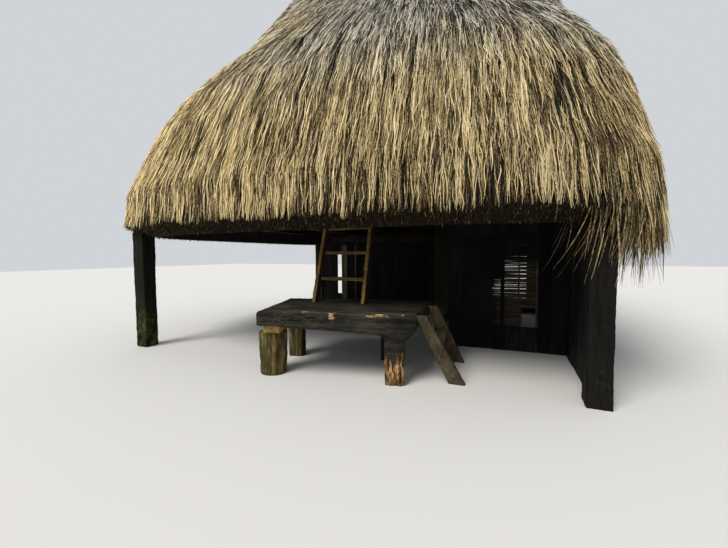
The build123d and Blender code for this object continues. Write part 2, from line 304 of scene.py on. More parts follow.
def benchFinish():  # one adzed trunk, worn and chipped along the front edge, one leg rotten at its foot
    maker = Maker("benchTimber", specular=0.08)
    turn = math.radians(bench["turn"])
    x, y, z = maker.axes
    east = x - bench["x"]
    north = y - bench["y"]
    along = east * math.cos(turn) + north * math.sin(turn)
    back = north * math.cos(turn) - east * math.sin(turn)
    place = maker.add("ShaderNodeCombineXYZ", None, {0: along, 1: back, 2: z})
    fibres = maker.noise(20, (0.07, 1, 1), detail=6, roughness=0.65, place=place)
    fine = maker.noise(95, (0.10, 1, 1), detail=3, place=place)
    patches = maker.noise(3.0, detail=5, roughness=0.6)
    checks = maker.noise(13, (0.05, 1.2, 1.2), detail=1, shift=(4, 2, 7), place=place)
    crack = (checks - 0.5).absolute().between(0.003, 0.015)
    grainTone = (fibres * 0.7 + fine * 0.5).between(0.38, 0.85)
    colour = maker.mix(grainTone, (0.003, 0.003, 0.0026), (0.062, 0.057, 0.043))
    # painted shade: faces that look to the front are darker
    paintedShade = 1 - maker.stored("front").between(0.5, 0.9) * 0.35
    colour = maker.dim(colour, (patches.between(0.3, 0.7) * 0.75 + 0.55) * paintedShade)
    dust = maker.noise(60, detail=3, shift=(2, 8, 5)).between(0.58, 0.72) * patches.between(0.40, 0.65)
    colour = maker.mix(dust * 0.65, colour, (0.12, 0.10, 0.055))
    colour = maker.dim(colour, crack * 0.45 + 0.55)
    ragged = maker.noise(28, (0.5, 1, 1), detail=5, roughness=0.75, shift=(1, 5, 2), place=place)
    bareWood = maker.mix(maker.noise(70, (0.2, 1, 1), detail=3, place=place).between(0.35, 0.7),
                         (0.14, 0.070, 0.025), (0.46, 0.30, 0.15))
    for middle, half, nearBack, halfBack, level, halfLevel, freely in bench["chips"]:
        reach = along.near(middle, half, 0.0, 1.8) * back.near(nearBack, halfBack, 0.2, 1.7)
        reach = reach * z.near(level, halfLevel, 0.2, 1.7)
        mask = (reach * 0.5 + ragged * 1.1 - 0.5).between(freely, freely + 0.05)
        colour = maker.mix(mask, colour, bareWood)
    (startAlong, startBack), (endAlong, endBack) = bench["crack"]
    slope = (endBack - startBack) / (endAlong - startAlong)
    wander = maker.noise(9, detail=3, place=place) - 0.5
    line = back - startBack - (along - startAlong) * slope + wander * 0.05
    onTop = z.between(*bench["top"])
    split = line.near(0.0, 0.010, 0.5, 1.0) * along.near((startAlong + endAlong) / 2, 0.13, 0.9, 1.1)
    split = split * onTop
    lip = line.near(-0.016, 0.010, 0.5, 1.2) * along.near(startAlong + 0.09, 0.10, 0.8, 1.2) * onTop
    colour = maker.mix(lip * 0.7, colour, (0.30, 0.18, 0.08))
    colour = maker.mix(split, colour, (0.003, 0.003, 0.003))
    upright = maker.noise(34, (1, 1, 0.16), detail=5, roughness=0.7, shift=(6, 2, 1), place=place)
    foot = along.near(bench["rottenLeg"], 0.14, 0.9, 1.0) * (1 - back.between(0.26, 0.30))
    rot = foot * (1 - (z + (upright - 0.5) * 1.1).between(0.24, 0.27))
    rotten = maker.ramp(upright * 0.8 + maker.noise(60, (1, 1, 0.3), detail=3, place=place) * 0.35, [
        (0.42, (0.012, 0.007, 0.003)),
        (0.51, (0.080, 0.040, 0.015)),
        (0.58, (0.32, 0.175, 0.070)),
        (0.68, (0.60, 0.41, 0.24)),
    ])
    rotten = maker.mix(1 - z.between(0.04, 0.16), rotten, maker.dim(rotten, 0.35))
    colour = maker.mix(rot, colour, rotten)
    height = fibres * 0.5 + fine * 0.25 + crack * 0.5 + split * -2.0 + rot * upright * 2.0
    return maker.finish(colour, height, bump=0.6, distance=0.006, roughness=fibres * 0.2 + 0.64)


def stumpFinish():
    maker = Maker("stumpBark", specular=0.08)
    fibres = maker.noise(30, (1, 1, 0.09), detail=6, roughness=0.7)
    flakes = maker.noise(13, (1, 1, 0.22), detail=4, roughness=0.65, shift=(5, 1, 3))
    colour = maker.ramp(fibres * 0.65 + flakes * 0.5, [
        (0.40, (0.012, 0.010, 0.004)),
        (0.55, (0.048, 0.038, 0.015)),
        (0.66, (0.16, 0.118, 0.044)),
        (0.80, (0.36, 0.25, 0.105)),
    ])
    moss = maker.noise(7, detail=5, roughness=0.7, shift=(3, 3, 8)).between(0.44, 0.62)
    low = 1 - maker.axes[2].between(0.12, 0.50) * 0.75
    colour = maker.mix(moss * low * 0.85, colour, (0.050, 0.062, 0.013))
    return maker.finish(colour, fibres * 0.7 + flakes * 0.6, bump=0.8, distance=0.010)


def strandFinish():
    maker = Maker("dryStraw", roughness=0.72, specular=0.25)
    x, y, z = maker.axes
    tone, along, wear = maker.strandParts()
    uv = maker.add("ShaderNodeUVMap", {"uv_map": "strandMap"})
    streak = maker.noise(1.0, (9, 3.0, 1), detail=4, roughness=0.7, place=uv)
    patch = maker.noise(0.9, detail=3, shift=(2, 7, 1))
    broken = maker.noise(1.0, (1.6, 17, 1), detail=2, roughness=0.6, shift=(3, 1, 0), place=uv)
    broken = broken.between(0.36, 0.64)   # light and dark lengths of one strand
    spread = 2.0 - x.between(-3.2, 0.6) * 0.62   # stronger contrast towards the left, painted shadow that darkens the gaps between strands
    level = z.between(1.8, 2.8) * 0.06 + 0.37   # darker towards the eave
    shade = (tone - 0.5) * spread + level + (streak - 0.5) * 0.6
    shade = shade + (broken - 0.5) * 0.54 + (patch - 0.5) * 0.4
    colour = maker.ramp(shade, [
        (0.05, (0.012, 0.0075, 0.003)),
        (0.28, (0.080, 0.051, 0.017)),
        (0.50, (0.345, 0.242, 0.088)),
        (0.72, (0.67, 0.50, 0.215)),
        (0.95, (0.86, 0.70, 0.37)),
    ])
    weather = (x + (patch - 0.5) * 3.0).between(-2.0, 1.0) * 0.6 + 0.3   # greyer to the right
    weather = weather + (0.92 - weather) * z.between(4.5, 5.6)   # and all round near the ridge
    grey = z.between(2.6, 4.0) * weather + (wear - 0.5) * 0.5
    grey = maker.math("MULTIPLY", grey, 1.0, clamp=True)
    greyed = maker.ramp(shade, [
        (0.05, (0.012, 0.010, 0.006)),
        (0.28, (0.055, 0.047, 0.034)),
        (0.50, (0.225, 0.201, 0.157)),
        (0.72, (0.45, 0.425, 0.362)),
        (0.95, (0.66, 0.65, 0.60)),
    ])
    colour = maker.mix(grey, colour, greyed)
    paintedShade = (x * 0.16 + 0.5).between(0.0, 1.0) * (1 - z.between(4.2, 5.4) * 0.7)
    corner = x.between(1.8, 2.9) * (1 - y.between(-2.6, -1.4))
    left = 1 - x.between(-3.0, -0.8)
    bright = 1.16 - paintedShade * 0.40 - corner * 0.07 - left * 0.09   # painted shade: dimmer to the right and at both ends
    # the roots of the strands are darker, partly dirt and partly painted shade from the strands above
    colour = maker.dim(colour, (along.between(0.0, 0.5) * 0.55 + 0.45) * bright)
    return maker.finish(colour, streak, bump=0.5, distance=0.002)


def underThatchFinish():
    maker = Maker("underThatch", roughness=0.95, specular=0.1)
    streak = maker.noise(60, (1, 1, 0.06), detail=4)
    patch = maker.noise(3, detail=3)
    colour = maker.mix(streak.between(0.45, 0.75), (0.006, 0.004, 0.002), (0.055, 0.037, 0.017))
    colour = maker.dim(colour, patch * 0.8 + 0.5)
    return maker.finish(colour, streak, bump=0.9, distance=0.02)


def stubFinish():
    maker = Maker("cutEave", roughness=0.9, specular=0.15)
    colour = maker.ramp(maker.strandParts()[0], [
        (0.0, (0.010, 0.007, 0.003)),
        (0.6, (0.040, 0.027, 0.012)),
        (0.9, (0.13, 0.090, 0.036)),
        (1.0, (0.28, 0.20, 0.085)),
    ])
    return maker.finish(colour)


# the timbers under the roof are painted very dark, partly soot and partly painted shade
beamTones = ((0.006, 0.0055, 0.0045), (0.034, 0.029, 0.021))
finishes = {
    "post": timberFinish(
        "postTimber", (0.003, 0.003, 0.002), (0.014, 0.014, 0.008), moss=0.85, mossTop=0.8,
    ),
    # the front right post is a darker copy of the posts, painted shade, with less moss
    "postRight": timberFinish(
        "postTimberRight", (0.003, 0.003, 0.0025), (0.009, 0.008, 0.0065), moss=0.3, mossTop=0.5,
    ),
    "beamX": timberFinish("beamTimberX", *beamTones, axis="x"),
    "beamY": timberFinish("beamTimberY", *beamTones, axis="y"),
    "boardZ": timberFinish("sootBoards", (0.0035, 0.004, 0.0045), (0.016, 0.016, 0.016), tones=True),
    "boardX": timberFinish(
        "sootDeck", (0.004, 0.004, 0.004), (0.020, 0.018, 0.016), axis="x", tones=True,
    ),
    "bench": benchFinish(),
    "ladder": timberFinish(
        "ladderTimber", (0.060, 0.036, 0.013), (0.36, 0.23, 0.085), grain=40, warm=0.8, paintedSideShade=0.82,
    ),
    "rung": timberFinish(
        "rungTimber", (0.045, 0.030, 0.011), (0.24, 0.165, 0.062), axis="x", grain=40, paintedSideShade=0.5,
    ),
    "stair": timberFinish(
        "stairTimber", (0.013, 0.011, 0.007), (0.105, 0.083, 0.048), grain=34, cracks=0.5,
    ),
    "stump": stumpFinish(),
    "shim": timberFinish(
        "shimBoard", (0.15, 0.095, 0.032), (0.44, 0.30, 0.12), axis="x", grain=30, cracks=0.4,
    ),
    "pole": timberFinish("sootPoles", (0.008, 0.006, 0.004), (0.045, 0.032, 0.019)),
    "stud": timberFinish("studTimber", (0.03, 0.025, 0.017), (0.13, 0.105, 0.068)),
    "underThatch": underThatchFinish(),
    "strand": strandFinish(),
    "stub": stubFinish(),
}
print("finishes ready:", len(finishes))


# roof surface read from the frame, as rows by height and columns by turn

roof = {
    "rows": 150, "columns": 720, "capRows": 9, "skirtCourses": 6, "crownCourses": 6,
    "below": 0.30, "belowRows": 6,   # the table runs on below the lip, for tips that hang past it
    "edge": 0.006,   # how far above a course's edge the surface is felt
    "turnShift": 0.31,   # the rays pass between the solids' own corners
    "outside": 6,   # a ray starts this many times as far out as the roof
}
thatchNodes = [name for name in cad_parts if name.startswith("thatch_")]


def thatchTree():
    points = []
    faces = []
    for name in thatchNodes:
        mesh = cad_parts[name].data
        mesh.calc_loop_triangles()
        corners = np.empty(len(mesh.loop_triangles) * 3, dtype=np.int32)
        mesh.loop_triangles.foreach_get("vertices", corners)
        faces.extend((corners.reshape(-1, 3) + len(points)).tolist())
        points.extend(map(Vector, perVertex(mesh)))
    return BVHTree.FromPolygons(points, faces)


def cast(start, direction):
    return tree.ray_cast(Vector(start), Vector(direction).normalized())[0]


def unit(vectors):
    return vectors / np.linalg.norm(vectors, axis=-1, keepdims=True)


def turnFrom(columns, middle):  # degrees round the roof, away from a middle turn
    return (columns * 360 / roof["columns"] - middle + 180) % 360 - 180


tree = thatchTree()
farOff = 20   # rays towards the roof start this far away
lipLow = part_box("thatch_skirt_front")[0][2]
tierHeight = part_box("thatch_skirt_front")[1][2]
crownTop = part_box("thatch_crown_front")[1][2]
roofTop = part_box("thatch_ridge_cap")[1][2]
lipHeight = 0.0
lipStep = 0.005
for step in range(60):  # the lip is where the outermost edge begins
    height = lipLow + 0.004 + step * lipStep
    hit = cast((0.01, -farOff, height), (0, 1, 0))
    if hit is not None and step and abs(hit.y - previous) < 0.004:
        lipHeight = height - lipStep
        break
    previous = hit.y if hit is not None else 0
courseLines = np.concatenate([
    np.linspace(lipHeight, tierHeight, roof["skirtCourses"] + 1)[:-1],
    np.linspace(tierHeight, crownTop, roof["crownCourses"] + 1),
])
print("lip at", round(lipHeight, 3), "top at", round(roofTop, 3), "courses", len(courseLines) - 1)


def castRow(z):
    turns = (np.arange(roof["columns"]) + roof["turnShift"]) * 2 * math.pi / roof["columns"]
    right = cast((farOff, 0.01, z), (-1, 0, 0)).x
    left = cast((-farOff, 0.01, z), (1, 0, 0)).x
    middle = (right + left) / 2
    halfX = (right - left) / 2
    halfY = -cast((middle, -farOff, z), (0, 1, 0)).y
    row = np.zeros((roof["columns"], 3))
    for j, turn in enumerate(turns):
        dx = halfX * math.cos(turn)
        dy = halfY * math.sin(turn)
        hit = cast((middle + dx * roof["outside"], dy * roof["outside"], z), (-dx, -dy, 0))
        row[j] = hit if hit is not None else row[j - 1]
    return row


def readRoof():  # a smooth skin over the proud edges of the courses and over the ridge cap
    felt = list(courseLines + roof["edge"])
    felt += list(np.linspace(crownTop + roof["edge"], roofTop - 0.012, roof["capRows"]))[1:]
    rows = np.array([castRow(z) for z in felt])
    heights = np.linspace(felt[0], felt[-1], roof["rows"])
    place = np.interp(heights, felt, np.arange(len(felt)))
    low = np.minimum(place.astype(int), len(felt) - 2)
    share = (place - low)[:, None, None]
    table = rows[low] * (1 - share) + rows[low + 1] * share
    smooth = table.copy()
    smooth[1:-1] = (table[:-2] + table[1:-1] * 2 + table[2:]) / 4
    drops = np.linspace(roof["below"], roof["below"] / roof["belowRows"], roof["belowRows"])
    under = np.repeat(smooth[:1], roof["belowRows"], axis=0)
    under[:, :, 2] = (heights[0] - drops)[:, None]
    return np.concatenate([under, smooth]), np.concatenate([heights[0] - drops, heights])


roofPoints, roofHeights = readRoof()
rowCount = len(roofHeights)
acrossStep = (np.roll(roofPoints, -1, axis=1) - np.roll(roofPoints, 1, axis=1)) / 2
upStep = np.gradient(roofPoints, roofHeights, axis=0)
normals = unit(np.cross(acrossStep, upStep))
acrossLength = np.linalg.norm(acrossStep, axis=2)
upLength = np.linalg.norm(upStep, axis=2)
arcs = np.cumsum(acrossLength, axis=1)
print("roof read:", roofPoints.shape)


def sample(grid, heights, columns):
    row = np.clip(np.interp(heights, roofHeights, np.arange(rowCount)), 0, rowCount - 1.001)
    low = row.astype(int)
    share = row - low
    column = np.mod(columns, roof["columns"])
    left = column.astype(int) % roof["columns"]
    right = (left + 1) % roof["columns"]
    part = column - np.floor(column)
    if grid.ndim == 3:
        share = share[..., None]
        part = part[..., None]
    lower = grid[low, left] * (1 - part) + grid[low, right] * part
    upper = grid[low + 1, left] * (1 - part) + grid[low + 1, right] * part
    return lower * (1 - share) + upper * share


# strands of grass as joined ribbons, laid in courses and drawn together into locks

def ribbonPiece(name, centres, across, halfWidths, tones, wear, finish="strand", replaced=()):
    count, rings = centres.shape[:2]
    lines = [centres - across * halfWidths, centres + across * halfWidths]
    wide = len(lines)
    points = np.stack(lines, axis=2).reshape(-1, 3)
    ring = np.arange(count * rings * wide).reshape(count, rings, wide)
    quads = [ring[:, 1:, :-1], ring[:, 1:, 1:], ring[:, :-1, 1:], ring[:, :-1, :-1]]
    quads = np.stack(quads, axis=-1).reshape(-1, 4)
    mesh = bpy.data.meshes.new(name)
    mesh.vertices.add(len(points))
    mesh.vertices.foreach_set("co", points.ravel())
    mesh.loops.add(quads.size)
    mesh.loops.foreach_set("vertex_index", quads.ravel().astype(np.int32))
    mesh.polygons.add(len(quads))
    mesh.polygons.foreach_set("loop_start", np.arange(len(quads), dtype=np.int32) * 4)
    mesh.polygons.foreach_set("use_smooth", np.ones(len(quads), dtype=bool))
    mesh.update(calc_edges=True)
    data = np.ones((count, rings, wide, 4))
    data[..., 0] = tones[:, None, None]
    data[..., 1] = np.linspace(0, 1, rings)[:, None]
    data[..., 2] = wear[:, None, None]
    colours = mesh.color_attributes.new("strand", "FLOAT_COLOR", "POINT")
    colours.data.foreach_set("color", data.ravel())
    apart = np.linspace(0, 1, wide) + data[..., 0] * 71 + data[..., 2] * 23   # no two strands alike
    flat = np.stack([apart, data[..., 1]], axis=-1).reshape(-1, 2)[quads.ravel()]
    layer = mesh.uv_layers.new(name="strandMap")
    layer.data.foreach_set("uv", flat.ravel())
    piece = bpy.data.objects.new(name, mesh)
    bpy.context.collection.objects.link(piece)
    finishPiece(piece, finishes[finish], replaced, smoothAngle=0)
    return len(quads) * 2


def rolled(sideways, outward, roll):  # how a ribbon lies across, turned about its own length
    return sideways * np.cos(roll)[..., None] + outward * np.sin(roll)[..., None]


hole = {"x": 2.549, "halfWidth": 0.075, "foot": 2.26, "head": 2.86}   # gash in the front, near the right
courseStep = 0.046   # how far each course stands proud of the one below
locks = {
    "width": 0.052, "jitter": 0.38, "shift": 0.37, "drop": 0.022, "tone": 0.15, "bulge": 0.010,
    "raise": 0.02, "stray": 0.12, "count": 1024,
}
strandShape = {
    "rise": (0.25, 0.75), "waves": (0.7, 2.3), "kink": 0.55, "pull": (0.25, 0.85),
    "depthTone": 0.38, "swellTone": 0.16,   # painted shade: strands further out, and in a lock's middle, are lighter, those deeper in darker
}
lockRandom = np.random.default_rng(5)
lockShape = (len(courseLines) + 1, locks["count"])
lockJitter = lockRandom.uniform(-locks["jitter"], locks["jitter"], lockShape)
lockDrop = lockRandom.normal(0, locks["drop"], lockShape)
lockTone = lockRandom.normal(0, locks["tone"], lockShape)


def lockOf(heights, columns, random):  # course and lock of each tip, and the way to its lock's middle
    strayed = heights + locks["raise"] + random.normal(0, locks["stray"], len(heights))
    course = np.clip(np.searchsorted(courseLines, strayed) - 1, 0, len(courseLines) - 1)
    arc = sample(arcs, courseLines[course], columns)
    cell = np.floor(arc / locks["width"] + course * locks["shift"]).astype(int)
    index = cell % locks["count"]
    middle = (cell + 0.5 + lockJitter[course, index] - course * locks["shift"]) * locks["width"]
    return course, index, middle - arc


def laySegments(tipHeights, tipColumns, lengths, lean, rings):
    heights = np.zeros((len(tipHeights), rings))
    columns = np.zeros_like(heights)
    heights[:, -1] = tipHeights
    columns[:, -1] = tipColumns
    step = lengths / (rings - 1)
    for k in range(rings - 2, -1, -1):
        here = heights[:, k + 1]
        slope = sample(upLength, here, columns[:, k + 1])
        width = sample(acrossLength, here, columns[:, k + 1])
        heights[:, k] = np.minimum(here + step / slope, roofHeights[-1])
        columns[:, k] = columns[:, k + 1] + lean * step / np.maximum(width, 0.002)
    return heights, columns


fuller = {"out": 0.050, "middle": 345, "half": 50, "low": 2.0, "high": 2.9}


def bulgeAt(heights, columns):  # the eave swells most at the right
    aside = np.clip(turnFrom(columns, fuller["middle"]) / fuller["half"], -1, 1)
    reach = np.cos(aside * math.pi / 2) ** 0.7
    fade = np.clip((fuller["high"] - heights) / (fuller["high"] - fuller["low"]), 0, 1)
    return fuller["out"] * reach * fade


def strandsAt(name, tips, spec, loose, random):
    heights, columns = tips
    count = len(heights)
    rings = spec["rings"]
    course, lock, offset = lockOf(heights, columns, random)
    heights = heights + lockDrop[course, lock] * np.where(heights > lipHeight + 0.1, 1.0, 0.5)
    lengths = random.uniform(*spec["length"], count)
    lean = random.normal(0, spec["lean"] * loose, count)
    along = np.linspace(0, 1, rings)[None, :]
    rowHeights, rowColumns = laySegments(heights, columns, lengths, lean, rings)   # from root to tip
    centres = sample(roofPoints, rowHeights, rowColumns)
    outward = unit(sample(normals, rowHeights, rowColumns))
    sideways = unit(sample(acrossStep, rowHeights, rowColumns))
    depth = random.uniform(0, 1, count)
    lowLift, highLift = spec["lift"]
    swell = 1 - np.minimum(1, np.abs(offset) / locks["width"] * 2) ** 2
    lift = lowLift + (highLift - lowLift) * depth + locks["bulge"] * swell
    atRoot, more = strandShape["rise"]
    lift = lift[:, None] * (atRoot + more * along ** 1.2)
    laid = np.clip(np.searchsorted(courseLines, rowHeights) - 1, 0, len(courseLines) - 2)
    rise = (rowHeights - courseLines[laid]) / (courseLines[laid + 1] - courseLines[laid])
    recess = courseStep * spec["tuck"] * np.clip(np.minimum(rise, (1 - rise) * 3), 0, 1)
    recess = recess - bulgeAt(rowHeights, columns[:, None])   # strands follow the steps between courses
    phase = random.uniform(0, 2 * math.pi, count)[:, None]
    waves = random.uniform(*strandShape["waves"], count)[:, None]
    sway = np.sin(phase + along * waves * 2 * math.pi) - np.sin(phase)
    kink = random.normal(0, strandShape["kink"], (count, rings)) * spec["wave"] * loose
    sideShift = sway * random.uniform(0.0, spec["wave"] * loose, count)[:, None] + kink
    pull = random.uniform(*strandShape["pull"], count) * spec["pull"]
    sideShift += (pull * offset)[:, None] * along ** 1.4
    ripple = np.sin(phase * 2.7 + along * waves * 7)
    ripple *= random.uniform(0, spec["wave"] * 0.4, count)[:, None]
    centres = centres + outward * (lift - recess + ripple)[..., None]
    centres += sideways * sideShift[..., None]
    roll = random.normal(0, spec["roll"], count)[:, None]
    roll = roll + random.normal(0, spec["twist"], count)[:, None] * along
    across = rolled(sideways, outward, roll)
    widths = random.uniform(*spec["width"], count)[:, None] / 2
    taper = np.interp(along, [0, 0.25, 0.6, 0.85, 1], [0.5, 0.9, 1.0, 0.75, spec["tip"]])
    halfWidths = (widths * taper)[..., None]
    tones = random.normal(spec["tone"], spec["toneSpread"], count) + lockTone[course, lock]
    # painted shade: deeper strands and a lock's edges are darker
    tones += (depth - 0.5) * strandShape["depthTone"] + (swell - 0.5) * strandShape["swellTone"]
    wear = random.uniform(0, 1, count)
    return ribbonPiece(name, centres, across, halfWidths, np.clip(tones, 0, 1), wear)


def keepOffHole(heights, columns):  # only the deepest strands cross the gash
    spots = sample(roofPoints, heights, columns)
    share = np.clip((heights - hole["foot"]) / (hole["head"] - hole["foot"]), 0, 1)
    near = np.abs(spots[:, 0] - hole["x"]) < hole["halfWidth"] * np.sin(share * math.pi) ** 0.5
    near &= spots[:, 1] < 0
    return heights[~near], columns[~near]


tipSpec = {
    "share": 0.2, "spread": 0.06,   # how many tips end near a course's edge, and how near
    "wander": 0.02, "ragged": 0.03,   # how unevenly the courses and the eave end
    "corner": 328, "cornerHalf": 11, "cornerDrop": 0.16,   # the front right corner hangs lower
    "overlap": 0.8,   # share of a strand's area that covers the roof
    "scallops": ((0.016, 0.21, 0.0), (0.010, 0.83, 1.7)),   # height, closeness and start of each
}


def scatterTips(spec, coverage, firstTurn, lastTurn, lowest, highest, random):
    cells = acrossLength * upLength * np.gradient(roofHeights)[:, None]
    turns = (np.arange(roof["columns"]) * 360.0 / roof["columns"]) % 360
    inside = (turns - firstTurn) % 360 < (lastTurn - firstTurn) % 360.0001
    rows = (roofHeights >= lowest) & (roofHeights <= highest)
    weights = cells * inside[None, :] * rows[:, None]
    strandArea = sum(spec["length"]) / 2 * sum(spec["width"]) / 2 * tipSpec["overlap"]
    count = int(weights.sum() * coverage / strandArea)
    weights = weights / weights.sum()
    chosen = random.choice(weights.size, size=count, p=weights.ravel())
    row, column = np.unravel_index(chosen, weights.shape)
    spacing = np.gradient(roofHeights)[row]
    heights = roofHeights[row] + (random.uniform(size=count) - 0.5) * spacing
    columns = column + random.uniform(size=count) - 0.5
    nearest = np.abs(heights[:, None] - courseLines[None, :]).argmin(axis=1)
    course = courseLines[nearest] + tipSpec["wander"] * np.sin(columns * 0.11 + nearest * 2.1)
    snapped = random.uniform(size=count) < tipSpec["share"]
    heights = np.where(snapped, course + random.normal(0, tipSpec["spread"], count), heights)
    scallop = sum(high * np.sin(columns * close + start) for high, close, start in tipSpec["scallops"])
    corner = np.exp(-(turnFrom(columns, tipSpec["corner"]) / tipSpec["cornerHalf"]) ** 2)
    lowest = lipHeight - 0.004 + scallop - random.uniform(0, tipSpec["ragged"], count)
    lowest -= corner * random.uniform(0, tipSpec["cornerDrop"], count)
    heights = np.clip(heights, lowest, roofHeights[-1] - 0.02)
    return keepOffHole(heights, columns) if spec["lift"][0] else (heights, columns)


strandKinds = {
    # the deep tufts are painted dark, as shade between the strands above them
    "deepTufts": {
        "rings": 4, "length": (0.42, 0.80), "lean": 0.03, "lift": (0.000, 0.014), "wave": 0.010,
        "roll": 0.35, "twist": 0.4, "width": (0.014, 0.032), "tip": 0.2, "tone": 0.13,
        "toneSpread": 0.11, "coverage": 2.4, "tuck": 0.8, "pull": 0.6,
    },
    "middleTufts": {
        "rings": 5, "length": (0.38, 0.80), "lean": 0.03, "lift": (0.006, 0.026), "wave": 0.012,
        "roll": 0.55, "twist": 0.7, "width": (0.007, 0.016), "tip": 0.15, "tone": 0.44,
        "toneSpread": 0.19, "coverage": 1.44, "tuck": 0.35, "pull": 1.0,
    },
    "topTufts": {
        "rings": 5, "length": (0.26, 0.64), "lean": 0.04, "lift": (0.014, 0.038), "wave": 0.013,
        "roll": 0.6, "twist": 0.8, "width": (0.005, 0.011), "tip": 0.1, "tone": 0.66,
        "toneSpread": 0.19, "coverage": 0.61, "tuck": 0.25, "pull": 1.0,
    },
    "straws": {
        "rings": 4, "length": (0.20, 0.48), "lean": 0.07, "lift": (0.006, 0.046), "wave": 0.012,
        "roll": 0.8, "twist": 0.9, "width": (0.004, 0.008), "tip": 0.4, "tone": 0.58,
        "toneSpread": 0.24, "coverage": 0.85, "tuck": 0.25, "pull": 0.7,
    },
}
roofSides = {  # first and last turn, and how fully the strands cover the side
    "Front": (225, 315, 1.0),
    "Right": (315, 45, 0.75),
    "Back": (45, 135, 0.56),
    "Left": (135, 225, 0.65),
}
tiers = (   # lowest and highest tips, how loose, how short and how full
    ("Skirt", lipHeight - 0.12, tierHeight, 1.0, 1.0, 1.0),
    ("Crown", tierHeight, roofHeights[-1], 1.9, 0.66, 0.75),
)
strandTriangles = 0
for number, (side, (firstTurn, lastTurn, fullness)) in enumerate(roofSides.items()):
    random = np.random.default_rng(40 + number)
    for tier, lowest, highest, loose, shorter, share in tiers:
        for kind, spec in strandKinds.items():
            spec = dict(spec, length=tuple(length * shorter for length in spec["length"]))
            coverage = spec["coverage"] * fullness * share
            tips = scatterTips(spec, coverage, firstTurn, lastTurn, lowest, highest, random)
            strandTriangles += strandsAt(kind + tier + side, tips, spec, loose, random)
print("thatch laid:", strandTriangles, "triangles")


# strands folded over the ridge

saddle = {
    "count": 1700, "rings": 7, "span": (0.16, 0.34), "off": 0.10, "width": (0.007, 0.018),
    "lift": (0.004, 0.028), "ends": 0.02, "lean": 0.05, "tone": (0.48, 0.2),
}


def ridgeStrands():
    random = np.random.default_rng(61)
    low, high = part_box("thatch_ridge_cap")
    count, rings = saddle["count"], saddle["rings"]
    along = np.linspace(0, 1, rings)[None, :]
    x = random.uniform(low[0] + saddle["ends"], high[0] - saddle["ends"], count)[:, None]
    x = x + random.normal(0, saddle["lean"], count)[:, None] * along
    y = random.normal(0, saddle["off"], count)[:, None]
    y = y + (along * 2 - 1) * random.uniform(*saddle["span"], count)[:, None]
    lift = random.uniform(*saddle["lift"], count)
    centres = np.zeros((count, rings, 3))
    for i in range(count):
        for k in range(rings):
            hit = cast((x[i, k], y[i, k], farOff), (0, 0, -1))
            centres[i, k] = (x[i, k], y[i, k], (hit.z if hit else low[2]) + lift[i])
    across = np.broadcast_to(np.array([1.0, 0.0, 0.0]), centres.shape)
    taper = np.interp(along, [0, 0.15, 0.85, 1], [0.3, 1.0, 1.0, 0.2])
    halfWidths = (random.uniform(*saddle["width"], count)[:, None] / 2 * taper)[..., None]
    tones = np.clip(random.normal(*saddle["tone"], count), 0, 1)
    wear = random.uniform(0, 1, count)
    ribbonPiece("ridgeStrands", centres, across, halfWidths, tones, wear)


ridgeStrands()
print("ridge covered")


# short cut ends that stand out of the sloping underside of the eave

stubs = {
    "count": 12500, "width": 0.26, "length": (0.010, 0.040), "root": 0.006, "tilt": 0.35,
    "thickness": (0.005, 0.012),
}


def eaveStubs():
    random = np.random.default_rng(7)
    lipRow = roofPoints[roof["belowRows"]]
    widest = abs(lipRow[:, :2]).max(axis=0)
    centres = []
    while len(centres) < stubs["count"]:
        column = random.integers(roof["columns"])
        inset = random.uniform(0.0, 1.0) * stubs["width"]
        x, y = lipRow[column, :2] * (1 - inset / widest)
        hit = cast((x, y, lipLow - 0.5), (0, 0, 1))
        if hit is None or hit.z > lipHeight + 0.05:
            continue
        centres.append(hit)
    base = np.array(centres)
    count = len(base)
    length = random.uniform(*stubs["length"], count)[:, None]
    tilt = random.normal(0, stubs["tilt"], (count, 3))
    tilt[:, 2] = -1
    tilt = unit(tilt)
    lines = np.stack([base - tilt * stubs["root"], base + tilt * length], axis=1)
    angle = random.uniform(0, math.pi, count)
    across = np.stack([np.cos(angle), np.sin(angle), np.zeros(count)], axis=1)[:, None, :]
    halfWidths = random.uniform(*stubs["thickness"], count)[:, None] / 2 * np.array([[1.0, 0.6]])
    tones = random.uniform(0, 1, count) ** 1.6
    ribbonPiece("eaveCutEnds", lines, across, halfWidths[..., None], tones, tones, "stub")


eaveStubs()
print("cut ends in place")


# long broken straws under the front right corner

looseStraws = {
    "rings": 6, "width": (0.005, 0.012), "level": (0.02, 0.16), "splay": 0.13, "push": (0.02, 0.09),
    "proud": 0.03, "roll": 1.5, "twist": 0.8, "toneSpread": 0.2,
    "bunches": (  # how many, middle turn and spread, greatest inset, lengths, drift to the left, tone
        (760, 322, 4.0, 0.09, (0.14, 0.48), -0.05, 0.58),
        (320, 318, 2.6, 0.16, (0.26, 0.70), -0.14, 0.44),
        (130, 314.5, 2.2, 0.24, (0.20, 0.54), -0.34, 0.30),
        (320, 331, 5.0, 0.02, (0.10, 0.34), 0.02, 0.58),
    ),
}


